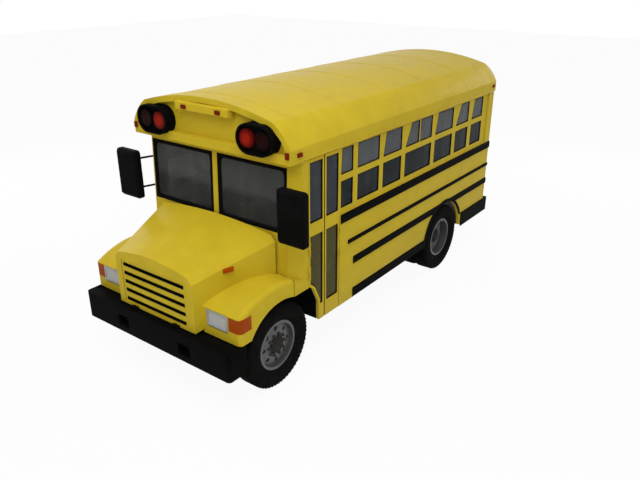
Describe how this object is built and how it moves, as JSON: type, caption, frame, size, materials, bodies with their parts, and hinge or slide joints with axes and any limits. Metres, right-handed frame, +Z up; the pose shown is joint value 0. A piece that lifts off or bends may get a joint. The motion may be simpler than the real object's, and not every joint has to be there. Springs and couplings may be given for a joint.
{
  "type": "school bus",
  "caption": "Short bonneted school bus with tilting hood, steered front wheels, twin rear wheels, two-leaf entrance door, rear emergency door, bench seats and black rub rails.",
  "frame": {"origin": "on the ground, midway between the bumpers' faces and between the sides", "axes": "+X forward, +Y to the bus's left (the entrance door's side), +Z up"},
  "size_m": [6.5, 3.05, 3.213],
  "materials": {
    "yellow_paint": "satin yellow body paint",
    "black_paint": "satin black paint",
    "chassis_black": "matt black chassis paint",
    "engine_iron": "painted casting",
    "exhaust_steel": "aluminised steel",
    "radiator_core": "blackened core",
    "floor_rubber": "ribbed floor covering",
    "window_tint": "grey tinted glass",
    "red_lens": "red lens",
    "amber_lens": "amber lens",
    "clear_lens": "clear lens over a reflector",
    "seat_vinyl": "dark green vinyl",
    "dark_plastic": "dark grain",
    "tyre": "black rubber",
    "wheel_grey": "grey painted steel"
  },
  "bodies": {
    "body": {"frame_rails": "chassis_black", "cross_members": "chassis_black", "front_axle": "chassis_black", "rear_axle": "chassis_black", "leaf_springs": "chassis_black", "engine": "engine_iron", "drive_shaft": "chassis_black", "exhaust": "exhaust_steel", "fuel_tank": "chassis_black", "radiator": "radiator_core", "floor": "floor_rubber", "step_well": "chassis_black", "side_wall_left": "yellow_paint", "side_wall_right": "yellow_paint", "window_band_left": "yellow_paint", "window_band_right": "yellow_paint", "roof": "yellow_paint", "front_cap": "yellow_paint", "front_wall": "yellow_paint", "rear_wall": "yellow_paint", "rub_rails": "black_paint", "rear_wheel_wells": "chassis_black", "front_bumper": "black_paint", "rear_bumper": "black_paint", "windshield_glass": "window_tint", "window_glass": "window_tint", "lamp_housings": "black_paint", "red_lenses": "red_lens", "amber_lenses": "amber_lens", "mirrors": "black_paint", "bench_seats": "seat_vinyl", "driver_seat": "seat_vinyl", "dashboard": "dark_plastic", "hood_hinge_brackets": "black_paint"},
    "hood": {"hood": "yellow_paint", "grille": "yellow_paint", "fender_left": "yellow_paint", "fender_right": "yellow_paint", "headlamps": "clear_lens", "turn_lamps": "amber_lens"},
    "knuckle_left": {"knuckle_left": "chassis_black"},
    "knuckle_right": {"knuckle_right": "chassis_black"},
    "front_wheel_left": {"front_tyre_left": "tyre", "front_wheel_left": "wheel_grey"},
    "front_wheel_right": {"front_tyre_right": "tyre", "front_wheel_right": "wheel_grey"},
    "rear_wheels_left": {"rear_tyres_left": "tyre", "rear_wheels_left": "wheel_grey"},
    "rear_wheels_right": {"rear_tyres_right": "tyre", "rear_wheels_right": "wheel_grey"},
    "steering_wheel": {"steering_wheel": "dark_plastic"},
    "door_front": {"door_leaf_front": "yellow_paint", "door_glass_front": "window_tint"},
    "door_rear": {"door_leaf_rear": "yellow_paint", "door_glass_rear": "window_tint"},
    "emergency_door": {"emergency_door": "yellow_paint", "emergency_glass": "window_tint"}
  },
  "joints": [
    {"name": "hood_tilt", "type": "hinge", "parent": "body", "child": "hood", "pos_m": [3.185, 0, 0.88], "axis": [0, 1, 0], "range_deg": [0, 70]},
    {"name": "steer_left", "type": "hinge", "parent": "body", "child": "knuckle_left", "pos_m": [2.39, 0.9, 0.527], "axis": [0, 0, 1], "range_deg": [-40, 40]},
    {"name": "steer_right", "type": "hinge", "parent": "body", "child": "knuckle_right", "pos_m": [2.39, -0.9, 0.527], "axis": [0, 0, 1], "range_deg": [-40, 40]},
    {"name": "steering_wheel_turn", "type": "hinge", "parent": "body", "child": "steering_wheel", "pos_m": [1.8, -0.65, 1.9], "axis": [-0.5299, 0, 0.848], "range_deg": [-600, 600]},
    {"name": "front_left_spin", "type": "hinge", "parent": "knuckle_left", "child": "front_wheel_left", "pos_m": [2.39, 1.057, 0.527], "axis": [0, 1, 0], "continuous": true},
    {"name": "front_right_spin", "type": "hinge", "parent": "knuckle_right", "child": "front_wheel_right", "pos_m": [2.39, -1.057, 0.527], "axis": [0, 1, 0], "continuous": true},
    {"name": "rear_left_spin", "type": "hinge", "parent": "body", "child": "rear_wheels_left", "pos_m": [-1.59, 0.92, 0.527], "axis": [0, 1, 0], "continuous": true},
    {"name": "rear_right_spin", "type": "hinge", "parent": "body", "child": "rear_wheels_right", "pos_m": [-1.59, -0.92, 0.527], "axis": [0, 1, 0], "continuous": true},
    {"name": "door_rear_swing", "type": "hinge", "parent": "body", "child": "door_rear", "pos_m": [1.275, 1.232, 1.5], "axis": [0, 0, 1], "range_deg": [0, 90]},
    {"name": "door_front_swing", "type": "hinge", "parent": "body", "child": "door_front", "pos_m": [1.88, 1.232, 1.5], "axis": [0, 0, -1], "range_deg": [0, 90]},
    {"name": "emergency_door_swing", "type": "hinge", "parent": "body", "child": "emergency_door", "pos_m": [-3.142, -0.385, 1.5], "axis": [0, 0, 1], "range_deg": [0, 110]}
  ],
  "couplings": [
    {"joint": "steer_right", "follows": "steer_left", "ratio": 1},
    {"joint": "steering_wheel_turn", "follows": "steer_left", "ratio": 15},
    {"joint": "door_front_swing", "follows": "door_rear_swing", "ratio": 1}
  ]
}
